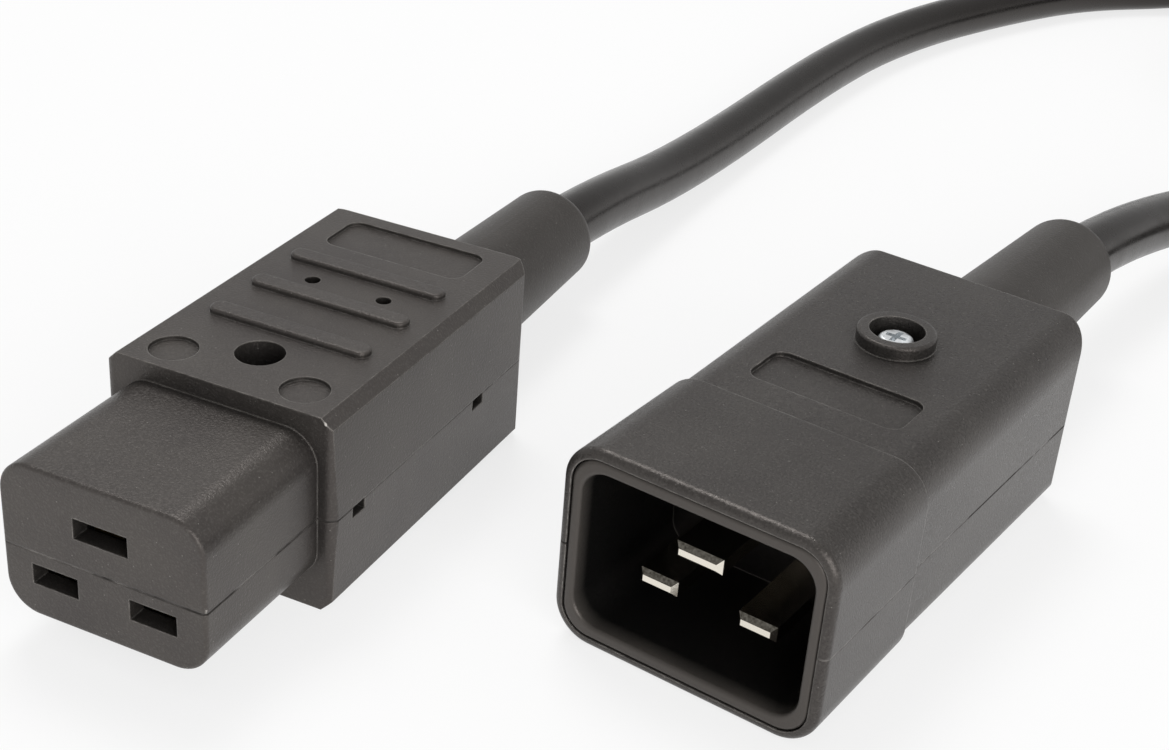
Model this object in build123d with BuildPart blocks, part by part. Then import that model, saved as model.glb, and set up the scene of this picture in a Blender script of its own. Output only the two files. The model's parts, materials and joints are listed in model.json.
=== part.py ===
"""Power cord: a heavy three-core lead with a rewireable socket end and a rewireable plug end.

Each end is built in its own frame, lying as it lies on the table: X across, Y from the
mating face back along the cable, Z up from the table. It is turned to its place at export.
The cable's route is worked out in the frame of the whole part.
"""

import os
from math import cos, pi, radians, sin, sqrt, tan

from build123d import *

# Coupler interface, shared by both ends
POLE_PITCH = 13.0
ROW_RISE = 8.0
BLADE_THICK = 2.0
POLE_BLADE = 5.0
EARTH_BLADE = 6.0
EARTH_LEAD = 3.2

# Cable and cores
CABLE = 9.0
CORE = 2.9
STRAND = 1.7

# Moulding
WALL = 2.2
FIT = 0.1
SLIDE = 0.15
RECESS = 0.5
RIB = 1.4

# Socket end, the female connector
NOSE_WIDTH = 26.8
NOSE_HEIGHT = 19.6
NOSE_CORNER = 4.2
NOSE_LENGTH = 21.4
NOSE_LIP = 0.5
SOCKET_WIDTH = 31.3
SOCKET_HEIGHT = 26.1
SOCKET_BODY = 48.1
SOCKET_SPLIT = 12.6
SOCKET_CABLE_Z = 11.0
ROWS_Z = 13.6
NOSE_RISE = 0.2
DRAFT = 0.35
LONG_CHAMFER = 1.4
FRONT_CORNER = 1.2
REAR_CORNER = 3.0
SLOT_PLAY = 1.15
SLOT_THICK = 2.65
FACE_WALL = 2.4
CHAMBER_DEPTH = 18.5
CHAMBER_HEIGHT = 5.4
CHAMBER_SIDE = 0.5

# Plug end, the male connector
PLUG_WIDTH = 34.9
PLUG_HEIGHT = 26.4
PLUG_CORNER = 5.0
PLUG_LENGTH = 68.0
PLUG_SPLIT = 12.7
PLUG_CABLE_Z = 15.2
SHROUD_LENGTH = 21.0
SHROUD_WALL = 1.2
WAIST_INSET = 0.5
PLUG_REAR_CORNER = 4.0
MOUTH_WIDTH = 29.6
MOUTH_HEIGHT = 20.6
MOUTH_CORNER = 3.4
MOUTH_DEPTH = 21.4
TIP_DEPTH = 4.5

# Contacts and terminals
BLOCK_LENGTH = 7.0
BLOCK_HEIGHT = 4.8
LEAF_THICK = 0.6
LEAF_GAP = 1.8
TERMINAL_BORE = 2.2
TERMINAL_SCREW = 2.6
TERMINAL_HEAD = 4.4
TERMINAL_HEAD_HEIGHT = 1.5
BARE_END = 5.0

# Housing screw, its well and its nut
SCREW = 2.5
SCREW_CLEARANCE = 2.8
SCREW_HEAD = 4.5
SCREW_HEAD_HEIGHT = 1.9
NUT_ACROSS = 5.0
NUT_THICK = 2.0
NUT_DEPTH = 2.4
BOSS_WALL = 1.2
SOCKET_SCREW_Y = 30.1
SOCKET_WELL = 6.0
SOCKET_SEAT = 17.0
PLUG_SCREW_SHARE = 0.783
PLUG_WELL = 7.0
PLUG_SEAT = 25.0
COLLAR = 10.0
COLLAR_RISE = 1.5

# Cord clamp
CLAMP_LENGTH = 4.4
CLAMP_SCREW = 2.5
CLAMP_HEAD = 4.4
CLAMP_HEAD_HEIGHT = 1.5
CLAMP_ROOF = 1.6
CLAMP_THICK = 3.4
CLAMP_EDGE = 3.4
CLAMP_BITE = 7.0
CLAMP_PLAY = 0.05
JACKET_SHOW = 1.0

# Bend sleeve
SLEEVE_FOOT = 16.4
SLEEVE_TIP = 14.4
SLEEVE_OUT = 39.0
SLEEVE_ROUND = 2.0
SLEEVE_FLARE = 0.5
SLEEVE_FLARE_LENGTH = 9.0
FLANGE = 18.6
FLANGE_THICK = 3.0
REAR_WALL = 2.4

# Details on the outside of the socket end
RIDGE_WIDTH = 22.2
RIDGE_LENGTH = 2.7
RIDGE_RISE = 0.8
RIDGE_FIRST = 36.3
RIDGE_PITCH = 8.8
ROUND_MARK = 5.9
ROUND_MARK_X = 9.0
ROUND_MARK_Y = 25.7
PINHOLE = 2.0
PINHOLE_X = 5.15
PINHOLE_Y = 49.3
PLATE_WIDTH = 20.2
PLATE_LENGTH = 8.0
PLATE_CORNER = 1.8
SOCKET_PLATE_Y = 63.2
PLUG_PLATE_Y = 30.6
NOTCH_LENGTH = 2.7
NOTCH_HEIGHT = 1.5
NOTCH_DEPTH = 1.2
NOTCHES_Y = (26.8, 55.6)

# Places of the two ends in the frame of the whole part
PLUG_X = 29.65
PLUG_Y = -33.55
SOCKET_X = -20.85
SOCKET_Y = -71.35
SOCKET_TURN = 9.33

# Cable inside its sleeve, and straight on behind it before the first bend
SLEEVED = 14.0
FREE_RUN = 7.0
SAG = 0.05

# Route of the free cable, chosen by hand: from the socket end, and from the plug end
SOCKET_ROUTE = [
    (-44.5, 84.0, 4.5),
    (-51.2, 151.0, 4.5),
    (-49.5, 185.0, 4.5),
    (-41.2, 217.0, 4.5),
    (-32.0, 240.0, 4.5),
    (-17.0, 258.0, 4.5),
    (1.0, 267.9, 8.4),
]
PLUG_ROUTE = [
    (33.7, 118.0, 10.0),
    (42.4, 136.0, 7.0),
    (56.7, 150.0, 4.5),
]
COIL_X = 69.0
COIL_Y = 219.0
COIL_RADIUS = 48.0
COIL_TURNS = 4 + 155 / 360
COIL_LEAVE = -65.0
STUB_IN = 34.0
STUB_OUT = 22.0
STUB_LIFT = 0.9
LEVEL_RUN = 15.0
TUCK = 0.3

# Sizes that follow
SOCKET_REAR = NOSE_LENGTH + SOCKET_BODY
NOSE_Z = ROWS_Z + NOSE_RISE
EARTH_Z = ROWS_Z + ROW_RISE / 2
POLE_Z = ROWS_Z - ROW_RISE / 2
PLUG_AXIS = PLUG_HEIGHT / 2
PLUG_EARTH_Z = PLUG_AXIS + ROW_RISE / 2
PLUG_POLE_Z = PLUG_AXIS - ROW_RISE / 2
POLE_SLOT = POLE_BLADE + SLOT_PLAY
EARTH_SLOT = EARTH_BLADE + SLOT_PLAY
POLE_CHAMBER = POLE_SLOT + 2 * CHAMBER_SIDE
EARTH_CHAMBER = EARTH_SLOT + 2 * CHAMBER_SIDE
BLOCK_FRONT = CHAMBER_DEPTH + SLIDE + TERMINAL_HEAD / 2 - BLOCK_LENGTH / 2
SADDLE_GAP = REAR_WALL + FLANGE_THICK + 2 * FIT + RIB + CLAMP_LENGTH / 2 + 0.2
JACKET_GAP = SADDLE_GAP + CLAMP_LENGTH / 2 + JACKET_SHOW
CARRIER_WIDTH = PLUG_WIDTH - 2 * SHROUD_WALL - 2 * FIT
CARRIER_HEIGHT = PLUG_HEIGHT - 2 * SHROUD_WALL - 2 * FIT
CARRIER_CORNER = PLUG_CORNER - SHROUD_WALL - FIT
NECK_WIDTH = MOUTH_WIDTH - 1.0
NECK_HEIGHT = MOUTH_HEIGHT - 0.4
CARRIER_STEP = MOUTH_DEPTH + 1.2
NECK_LENGTH = 2.2
HEEL_THICK = 2.2
HEEL_WIDTH = CARRIER_WIDTH - 1.4
HEEL_HEIGHT = CARRIER_HEIGHT - 1.4
CARRIER_LENGTH = CARRIER_STEP + NECK_LENGTH + HEEL_THICK

# The plug's screw post stands in what room the terminals and the fanned cores leave
CORE_LEAD = CORE * 0.65
FAN_ROOM = CORE * 1.45
COLUMN = SCREW_CLEARANCE + 2 * BOSS_WALL
PLUG_BACK = CARRIER_LENGTH + BLOCK_LENGTH
PLUG_ROOM = PLUG_LENGTH - JACKET_GAP - PLUG_BACK
PLUG_SCREW_Y = PLUG_BACK + COLUMN / 2 + PLUG_SCREW_SHARE * (PLUG_ROOM - COLUMN - FAN_ROOM)


def across(y):
    """Upright plane across the connector, at a distance back from its mating face."""
    return Plane.XZ.offset(-y)


def level(z):
    """Horizontal plane at a height above the table."""
    return Plane.XY.offset(z)


def rear_seat(rear, cable_z):
    """Space of the bend sleeve's flange, of its way out and of the cable's way in."""
    pocket = rear - REAR_WALL - FLANGE_THICK - 2 * FIT
    with BuildPart() as space:
        with BuildSketch(across(rear)):
            with Locations((0, cable_z)):
                Circle(SLEEVE_FOOT / 2 + FIT)
        extrude(amount=REAR_WALL)
        with BuildSketch(across(pocket)):
            with Locations((0, cable_z)):
                Circle(FLANGE / 2 + FIT)
        extrude(amount=-(FLANGE_THICK + 2 * FIT))
        with BuildSketch(across(pocket)):
            with Locations((0, cable_z)):
                Circle(CABLE / 2 + SLIDE)
        extrude(amount=RIB)
    return space


def screw_post(y, height, well, seat):
    """Post of the housing screw: a slim column with a foot round the nut and a cup on top."""
    with BuildPart() as post:
        with BuildSketch(level(WALL / 2)):
            with Locations((0, y)):
                Circle(COLUMN / 2)
        extrude(amount=height - WALL)
        with BuildSketch(level(WALL / 2)):
            with Locations((0, y)):
                Circle(NUT_ACROSS / sqrt(3) + SLIDE + BOSS_WALL)
        extrude(amount=NUT_DEPTH + BOSS_WALL - WALL / 2)
        with BuildSketch(level(height - WALL / 2)):
            with Locations((0, y)):
                Circle(well / 2 + BOSS_WALL)
        extrude(amount=-(height - WALL / 2 - seat + BOSS_WALL))
    return post


def screw_way(y, height, well, seat):
    """Space of the housing screw: the well of its head, its hole and the nut's pocket."""
    with BuildPart() as space:
        with BuildSketch(level(seat)):
            with Locations((0, y)):
                Circle(well / 2)
        extrude(amount=height)
        with BuildSketch(level(0)):
            with Locations((0, y)):
                Circle(SCREW_CLEARANCE / 2)
        extrude(amount=height)
        with BuildSketch(level(0)):
            with Locations((0, y)):
                RegularPolygon(NUT_ACROSS / 2 + SLIDE, 6, major_radius=False)
        extrude(amount=NUT_DEPTH)
    return space


def saddle(rear, parting, cable_z, inner_width):
    """The cable's seat across a lower shell, with the holes for the clamp screws."""
    front = across(rear - SADDLE_GAP - CLAMP_LENGTH / 2)
    with BuildPart() as seat:
        with BuildSketch(front):
            with Locations((0, WALL - FIT)):
                Rectangle(inner_width, parting - WALL + FIT, align=(Align.CENTER, Align.MIN))
            with Locations((0, cable_z)):
                Circle(CABLE / 2 + CLAMP_PLAY, mode=Mode.SUBTRACT)
                Rectangle(CABLE, parting, align=(Align.CENTER, Align.MIN), mode=Mode.SUBTRACT)
        extrude(amount=-CLAMP_LENGTH)
        with BuildSketch(level(parting)):
            with Locations(*clamp_spots(rear)):
                Circle(CLAMP_SCREW / 2)
        extrude(amount=-(CLAMP_BITE + SLIDE), mode=Mode.SUBTRACT)
    return seat


def clamp_spots(rear):
    """Places of the two clamp screws, beside the cable."""
    reach = CABLE / 2 + CLAMP_SCREW / 2 + CLAMP_EDGE
    return [(-reach, rear - SADDLE_GAP), (reach, rear - SADDLE_GAP)]


socket_rear_seat = rear_seat(SOCKET_REAR, SOCKET_CABLE_Z)
socket_post = screw_post(SOCKET_SCREW_Y, SOCKET_HEIGHT, SOCKET_WELL, SOCKET_SEAT)
socket_screw_way = screw_way(SOCKET_SCREW_Y, SOCKET_HEIGHT, SOCKET_WELL, SOCKET_SEAT)
socket_saddle = saddle(
    SOCKET_REAR, SOCKET_SPLIT, SOCKET_CABLE_Z, SOCKET_WIDTH - 2 * WALL
)

# The closed case of the socket end with its inside, before it is parted in two
half = SOCKET_WIDTH / 2
top_half = half - DRAFT
with BuildPart() as socket_case:
    with BuildSketch(across(NOSE_LENGTH)):
        with BuildLine():
            Polyline(
                (0, 0),
                (top_half - LONG_CHAMFER, 0),
                (top_half, LONG_CHAMFER),
                (half, SOCKET_SPLIT),
                (top_half, SOCKET_HEIGHT - LONG_CHAMFER),
                (top_half - LONG_CHAMFER, SOCKET_HEIGHT),
                (0, SOCKET_HEIGHT),
                close=True,
            )
        make_face()
        mirror(about=Plane.YZ)
    extrude(amount=-SOCKET_BODY)
    with BuildSketch(level(0)):
        with Locations((0, NOSE_LENGTH)):
            Rectangle(SOCKET_WIDTH, SOCKET_BODY, align=(Align.CENTER, Align.MIN))
        fillet(vertices().group_by(Axis.Y)[0], FRONT_CORNER)
        fillet(vertices().group_by(Axis.Y)[-1], REAR_CORNER)
    extrude(amount=SOCKET_HEIGHT, mode=Mode.INTERSECT)
    with BuildSketch(across(0)):
        with Locations((0, NOSE_Z)):
            RectangleRounded(NOSE_WIDTH, NOSE_HEIGHT, NOSE_CORNER)
    extrude(amount=-(NOSE_LENGTH + WALL))
    fillet(faces().sort_by(Axis.Y)[0].edges(), NOSE_LIP)

    # Wiring space, first inside the nose and then inside the body
    with BuildSketch(across(CHAMBER_DEPTH)):
        with Locations((0, NOSE_Z)):
            RectangleRounded(NOSE_WIDTH - 2 * WALL, NOSE_HEIGHT - 2 * 1.7, NOSE_CORNER - 1.7)
    extrude(amount=-(NOSE_LENGTH + WALL - CHAMBER_DEPTH), mode=Mode.SUBTRACT)
    space_end = SOCKET_REAR - REAR_WALL - FLANGE_THICK - 2 * FIT - RIB
    with BuildSketch(across(NOSE_LENGTH + WALL)):
        with Locations((0, SOCKET_HEIGHT / 2)):
            RectangleRounded(SOCKET_WIDTH - 2 * WALL - 2 * DRAFT, SOCKET_HEIGHT - 2 * WALL, 1.5)
    extrude(amount=-(space_end - NOSE_LENGTH - WALL), mode=Mode.SUBTRACT)

    # Contact slots in the face, and the chambers behind them
    with BuildSketch(across(0)):
        with Locations((0, EARTH_Z)):
            Rectangle(EARTH_SLOT, SLOT_THICK)
        with Locations((-POLE_PITCH / 2, POLE_Z), (POLE_PITCH / 2, POLE_Z)):
            Rectangle(POLE_SLOT, SLOT_THICK)
    extrude(amount=-FACE_WALL, mode=Mode.SUBTRACT)
    pole_floor = POLE_Z - CHAMBER_HEIGHT / 2
    with BuildSketch(across(FACE_WALL)):
        with Locations((0, EARTH_Z)):
            Rectangle(EARTH_CHAMBER, CHAMBER_HEIGHT)
        with Locations((-POLE_PITCH / 2, pole_floor), (POLE_PITCH / 2, pole_floor)):
            Rectangle(
                POLE_CHAMBER, SOCKET_SPLIT - pole_floor, align=(Align.CENTER, Align.MIN)
            )
    extrude(amount=-(CHAMBER_DEPTH - FACE_WALL), mode=Mode.SUBTRACT)

    add(socket_rear_seat.part, mode=Mode.SUBTRACT)
    add(socket_post.part)
    add(socket_screw_way.part, mode=Mode.SUBTRACT)


with BuildPart() as socket_shell_upper:
    add(socket_case.part)
    split(bisect_by=level(SOCKET_SPLIT), keep=Keep.TOP)
    with BuildSketch(level(SOCKET_HEIGHT)):
        for row in range(3):
            with Locations((0, RIDGE_FIRST + row * RIDGE_PITCH)):
                RectangleRounded(RIDGE_WIDTH, RIDGE_LENGTH, RIDGE_LENGTH / 2 - 0.1)
    extrude(amount=RIDGE_RISE)
    fillet(faces().group_by(Axis.Z)[-1].edges(), RIDGE_RISE / 2)
    with BuildSketch(level(SOCKET_HEIGHT)):
        with Locations((-ROUND_MARK_X, ROUND_MARK_Y), (ROUND_MARK_X, ROUND_MARK_Y)):
            Circle(ROUND_MARK / 2)
        with Locations((0, SOCKET_PLATE_Y)):
            RectangleRounded(PLATE_WIDTH, PLATE_LENGTH, PLATE_CORNER)
    extrude(amount=-RECESS, mode=Mode.SUBTRACT)
    with BuildSketch(level(SOCKET_HEIGHT)):
        with Locations((-PINHOLE_X, PINHOLE_Y), (PINHOLE_X, PINHOLE_Y)):
            Circle(PINHOLE / 2)
    extrude(amount=-WALL / 2, mode=Mode.SUBTRACT)

with BuildPart() as socket_shell_lower:
    add(socket_case.part)
    split(bisect_by=level(SOCKET_SPLIT), keep=Keep.BOTTOM)
    add(socket_saddle.part)
    with BuildSketch(level(SOCKET_SPLIT)):
        for y in NOTCHES_Y:
            with Locations((-SOCKET_WIDTH / 2, y), (SOCKET_WIDTH / 2, y)):
                Rectangle(2 * NOTCH_DEPTH, NOTCH_LENGTH)
    extrude(amount=-NOTCH_HEIGHT, mode=Mode.SUBTRACT)


def contact(blade, z, wire_side):
    """A sprung contact: two leaves that grip a blade, on a block with the wire's bore."""
    chamber = blade + SLOT_PLAY + 2 * CHAMBER_SIDE
    block_width = chamber - 2 * SLIDE
    with BuildPart() as piece:
        with BuildSketch(Plane.YZ):
            with Locations((BLOCK_FRONT, z)):
                Rectangle(BLOCK_LENGTH, BLOCK_HEIGHT, align=(Align.MIN, Align.CENTER))
        extrude(amount=block_width / 2, both=True)
        # One leaf's profile: from the block to the grip, then flared to lead the blade in
        grip = (LEAF_GAP + LEAF_THICK) / 2
        foot = BLOCK_HEIGHT / 2 - LEAF_THICK / 2
        with BuildSketch(Plane.YZ):
            with BuildLine():
                FilletPolyline(
                    (BLOCK_FRONT + 0.1, z + foot),
                    (BLOCK_FRONT - 3.2, z + foot),
                    (FACE_WALL + 4.2, z + grip),
                    (FACE_WALL + 0.8, z + foot - 0.5),
                    radius=1.2,
                )
            trace(line_width=LEAF_THICK)
        extrude(amount=(blade + SLOT_PLAY / 2) / 2, both=True)
        mirror(about=level(z))
        # Wire bore: from the back, or from the side where a post stands behind the block
        middle = BLOCK_FRONT + BLOCK_LENGTH / 2
        if wire_side:
            with BuildSketch(Plane.YZ.offset(-block_width / 2)):
                with Locations((middle, z)):
                    Circle(TERMINAL_BORE / 2)
            extrude(amount=BARE_END + SLIDE, mode=Mode.SUBTRACT)
        else:
            with BuildSketch(across(BLOCK_FRONT + BLOCK_LENGTH)):
                with Locations((0, z)):
                    Circle(TERMINAL_BORE / 2)
            extrude(amount=BARE_END + SLIDE, mode=Mode.SUBTRACT)
        with BuildSketch(level(z)):
            with Locations((0, middle)):
                Circle(TERMINAL_SCREW / 2)
        extrude(amount=BLOCK_HEIGHT, mode=Mode.SUBTRACT)
    return piece


socket_contact_earth = contact(EARTH_BLADE, EARTH_Z, wire_side=True)
socket_contact_pole = contact(POLE_BLADE, POLE_Z, wire_side=False)


def terminal_screws(spots):
    """Cheese-head screws that clamp the wires, one at each (x, y, z) of a wire's middle."""
    with BuildPart() as screws:
        for x, y, z in spots:
            with BuildSketch(level(z + STRAND / 2)):
                with Locations((x, y)):
                    Circle(TERMINAL_SCREW / 2)
            extrude(amount=BLOCK_HEIGHT / 2 - STRAND / 2)
            with BuildSketch(level(z + BLOCK_HEIGHT / 2)):
                with Locations((x, y)):
                    Circle(TERMINAL_HEAD / 2)
            extrude(amount=TERMINAL_HEAD_HEIGHT)
            with BuildSketch(level(z + BLOCK_HEIGHT / 2 + TERMINAL_HEAD_HEIGHT)):
                with Locations((x, y)):
                    Rectangle(TERMINAL_HEAD, 0.7)
            extrude(amount=-0.7, mode=Mode.SUBTRACT)
    return screws


def housing_screw(y, seat):
    """Pan-head screw that holds the two shells, down into its nut."""
    with BuildPart() as screw:
        with BuildSketch(level(seat)):
            with Locations((0, y)):
                Circle(SCREW_HEAD / 2)
        extrude(amount=SCREW_HEAD_HEIGHT)
        fillet(edges().group_by(Axis.Z)[-1], SCREW_HEAD_HEIGHT / 3)
        with BuildSketch(level(seat + SCREW_HEAD_HEIGHT)):
            with Locations((0, y)):
                Rectangle(SCREW_HEAD * 0.6, 0.7)
                Rectangle(0.7, SCREW_HEAD * 0.6)
        extrude(amount=-SCREW_HEAD_HEIGHT * 0.6, mode=Mode.SUBTRACT)
        with BuildSketch(level(NUT_DEPTH - NUT_THICK)):
            with Locations((0, y)):
                Circle(SCREW / 2)
        extrude(amount=seat - NUT_DEPTH + NUT_THICK)
    return screw


def housing_nut(y):
    """Hexagon nut in the pocket under the lower shell."""
    with BuildPart() as nut:
        with BuildSketch(level(NUT_DEPTH - NUT_THICK)):
            with Locations((0, y)):
                RegularPolygon(NUT_ACROSS / 2, 6, major_radius=False)
                Circle(SCREW / 2, mode=Mode.SUBTRACT)
        extrude(amount=NUT_THICK)
    return nut


def clamp_bar(rear, cable_z):
    """Bar across the cable, with an arched seat and a hole at each end."""
    spots = clamp_spots(rear)
    width = spots[1][0] - spots[0][0] + 2 * CLAMP_EDGE
    top = cable_z + CABLE / 2 + CLAMP_ROOF
    with BuildPart() as bar:
        with BuildSketch(across(rear - SADDLE_GAP - CLAMP_LENGTH / 2)):
            with Locations((0, top)):
                Rectangle(width, CLAMP_THICK, align=(Align.CENTER, Align.MAX))
            with Locations((0, cable_z)):
                Circle(CABLE / 2 + CLAMP_PLAY, mode=Mode.SUBTRACT)
        extrude(amount=-CLAMP_LENGTH)
        with BuildSketch(level(top)):
            with Locations(*spots):
                Circle(CLAMP_SCREW / 2 + SLIDE)
        extrude(amount=-CLAMP_THICK, mode=Mode.SUBTRACT)
    return bar


def clamp_screws(rear, split_z, cable_z):
    """The two screws of the cord clamp, heads on the bar and tips in the saddle."""
    top = cable_z + CABLE / 2 + CLAMP_ROOF
    with BuildPart() as screws:
        with BuildSketch(level(top)):
            with Locations(*clamp_spots(rear)):
                Circle(CLAMP_HEAD / 2)
        extrude(amount=CLAMP_HEAD_HEIGHT)
        with BuildSketch(level(split_z - CLAMP_BITE)):
            with Locations(*clamp_spots(rear)):
                Circle(CLAMP_SCREW / 2)
        extrude(amount=top - split_z + CLAMP_BITE)
        with BuildSketch(level(top + CLAMP_HEAD_HEIGHT)):
            with Locations(*clamp_spots(rear)):
                Rectangle(CLAMP_HEAD, 0.7)
        extrude(amount=-0.7, mode=Mode.SUBTRACT)
    return screws


def bend_sleeve(rear, cable_z):
    """Rubber sleeve, turned about the cable, with a flange that the shells hold."""
    heel = rear - REAR_WALL - FIT - FLANGE_THICK
    bore = CABLE / 2 + FIT
    with BuildPart() as sleeve:
        with BuildSketch(Plane.YZ):
            with BuildLine():
                Polyline(
                    (heel, cable_z + bore),
                    (heel, cable_z + FLANGE / 2),
                    (heel + FLANGE_THICK, cable_z + FLANGE / 2),
                    (heel + FLANGE_THICK, cable_z + SLEEVE_FOOT / 2),
                    (rear, cable_z + SLEEVE_FOOT / 2),
                    (rear + SLEEVE_OUT, cable_z + SLEEVE_TIP / 2),
                    (rear + SLEEVE_OUT, cable_z + bore + SLEEVE_FLARE),
                    (rear + SLEEVE_OUT - SLEEVE_FLARE_LENGTH, cable_z + bore),
                    close=True,
                )
            make_face()
            fillet(vertices().group_by(Axis.X)[-1].sort_by(Axis.Y)[-1], SLEEVE_ROUND)
        revolve(axis=Axis((0, 0, cable_z), (0, 1, 0)))
    return sleeve


def core(points, bare_from, bare_to):
    """One insulated core along its points, with its bare end in the terminal."""
    with BuildPart() as piece:
        with BuildLine():
            path = FilletPolyline(*points, radius=CORE)
        with BuildSketch(Plane(path @ 0, z_dir=path % 0)):
            Circle(CORE / 2)
        sweep(path=path)
        run = Vector(*bare_to) - Vector(*bare_from)
        with BuildSketch(Plane(bare_from, z_dir=run)):
            Circle(STRAND / 2)
        extrude(amount=run.length)
    return piece


def cores(rear, cable_z, block_front, earth_z, pole_z, earth_width):
    """The three cores of one end: earth, left pole and right pole."""
    start = rear - JACKET_GAP - CLAMP_PLAY
    back = block_front + BLOCK_LENGTH
    middle = block_front + BLOCK_LENGTH / 2
    lane = POLE_PITCH / 2 + CORE
    spread = CORE / 2 + SLIDE
    low = cable_z - CORE / 4
    high = cable_z + CORE * 2 / 3
    earth = core(
        [
            (0, start, high),
            (0, start - CORE_LEAD, high),
            (-lane, start - CORE_LEAD - lane * tan(radians(30)), earth_z),
            (-lane, middle, earth_z),
            (-earth_width / 2 - SLIDE, middle, earth_z),
        ],
        (-earth_width / 2 - SLIDE, middle, earth_z),
        (-earth_width / 2 + BARE_END, middle, earth_z),
    )
    poles = []
    for side in (-1, 1):
        x = side * POLE_PITCH / 2
        poles.append(
            core(
                [
                    (side * spread, start, low),
                    (side * spread, start - CORE_LEAD, low),
                    (x, start - CORE_LEAD - (POLE_PITCH / 2 - spread) * 0.8, pole_z),
                    (x, back + SLIDE, pole_z),
                ],
                (x, back + SLIDE, pole_z),
                (x, back - BARE_END, pole_z),
            )
        )
    return earth, *poles


plug_rear_seat = rear_seat(PLUG_LENGTH, PLUG_CABLE_Z)
plug_post = screw_post(PLUG_SCREW_Y, PLUG_HEIGHT, PLUG_WELL, PLUG_SEAT)
plug_screw_way = screw_way(PLUG_SCREW_Y, PLUG_HEIGHT, PLUG_WELL, PLUG_SEAT)
plug_saddle = saddle(PLUG_LENGTH, PLUG_SPLIT, PLUG_CABLE_Z, PLUG_WIDTH - 2 * WALL)

# The closed case of the plug end with its inside, before it is parted in two
with BuildPart() as plug_case:
    with BuildSketch(across(0)):
        with Locations((0, PLUG_AXIS)):
            RectangleRounded(PLUG_WIDTH, PLUG_HEIGHT, PLUG_CORNER)
    extrude(amount=-SHROUD_LENGTH)
    fillet(faces().sort_by(Axis.Y)[0].edges(), SHROUD_WALL - 0.2)
    with BuildSketch(across(SHROUD_LENGTH)):
        with Locations((0, PLUG_AXIS)):
            RectangleRounded(
                PLUG_WIDTH - 2 * WAIST_INSET,
                PLUG_HEIGHT - 2 * WAIST_INSET,
                PLUG_CORNER - WAIST_INSET,
            )
    with BuildSketch(across(PLUG_LENGTH)):
        with Locations((0, PLUG_AXIS)):
            RectangleRounded(PLUG_WIDTH, PLUG_HEIGHT, PLUG_CORNER - WAIST_INSET)
    loft()
    with BuildSketch(level(0)):
        Rectangle(PLUG_WIDTH, PLUG_LENGTH, align=(Align.CENTER, Align.MIN))
        fillet(vertices().group_by(Axis.Y)[-1], PLUG_REAR_CORNER)
    extrude(amount=PLUG_HEIGHT, mode=Mode.INTERSECT)

    # Seat of the pin carrier: its front part, its neck and its heel
    with BuildSketch(across(0)):
        with Locations((0, PLUG_AXIS)):
            RectangleRounded(
                CARRIER_WIDTH + 2 * FIT, CARRIER_HEIGHT + 2 * FIT, CARRIER_CORNER + FIT
            )
    extrude(amount=-(CARRIER_STEP + FIT), mode=Mode.SUBTRACT)
    with BuildSketch(across(CARRIER_STEP)):
        with Locations((0, PLUG_AXIS)):
            RectangleRounded(NECK_WIDTH + 2 * FIT, NECK_HEIGHT + 2 * FIT, MOUTH_CORNER + FIT)
    extrude(amount=-NECK_LENGTH, mode=Mode.SUBTRACT)
    with BuildSketch(across(CARRIER_STEP + NECK_LENGTH - FIT)):
        with Locations((0, PLUG_AXIS)):
            RectangleRounded(HEEL_WIDTH + 2 * FIT, HEEL_HEIGHT + 2 * FIT, MOUTH_CORNER + FIT)
    extrude(amount=-(HEEL_THICK + 2 * FIT), mode=Mode.SUBTRACT)

    # Wiring space
    space_end = PLUG_LENGTH - REAR_WALL - FLANGE_THICK - 2 * FIT - RIB
    with BuildSketch(across(CARRIER_LENGTH)):
        with Locations((0, PLUG_AXIS)):
            RectangleRounded(
                PLUG_WIDTH - 2 * WALL - 2 * WAIST_INSET,
                PLUG_HEIGHT - 2 * WALL,
                PLUG_CORNER - WALL,
            )
    extrude(amount=-(space_end - CARRIER_LENGTH), mode=Mode.SUBTRACT)
    add(plug_rear_seat.part, mode=Mode.SUBTRACT)
    add(plug_post.part)


with BuildPart() as plug_shell_upper:
    add(plug_case.part)
    with BuildSketch(level(PLUG_HEIGHT - WALL / 2)):
        with Locations((0, PLUG_SCREW_Y)):
            Circle(COLLAR / 2)
    extrude(amount=WALL / 2 + COLLAR_RISE)
    fillet(faces().group_by(Axis.Z)[-1].edges(), COLLAR_RISE / 4)
    add(plug_screw_way.part, mode=Mode.SUBTRACT)
    with BuildSketch(level(PLUG_HEIGHT)):
        with Locations((0, PLUG_PLATE_Y)):
            RectangleRounded(PLATE_WIDTH, PLATE_LENGTH, PLATE_CORNER)
    extrude(amount=-2 * RECESS, mode=Mode.SUBTRACT)
    split(bisect_by=level(PLUG_SPLIT), keep=Keep.TOP)

with BuildPart() as plug_shell_lower:
    add(plug_case.part)
    add(plug_screw_way.part, mode=Mode.SUBTRACT)
    split(bisect_by=level(PLUG_SPLIT), keep=Keep.BOTTOM)
    add(plug_saddle.part)

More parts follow.
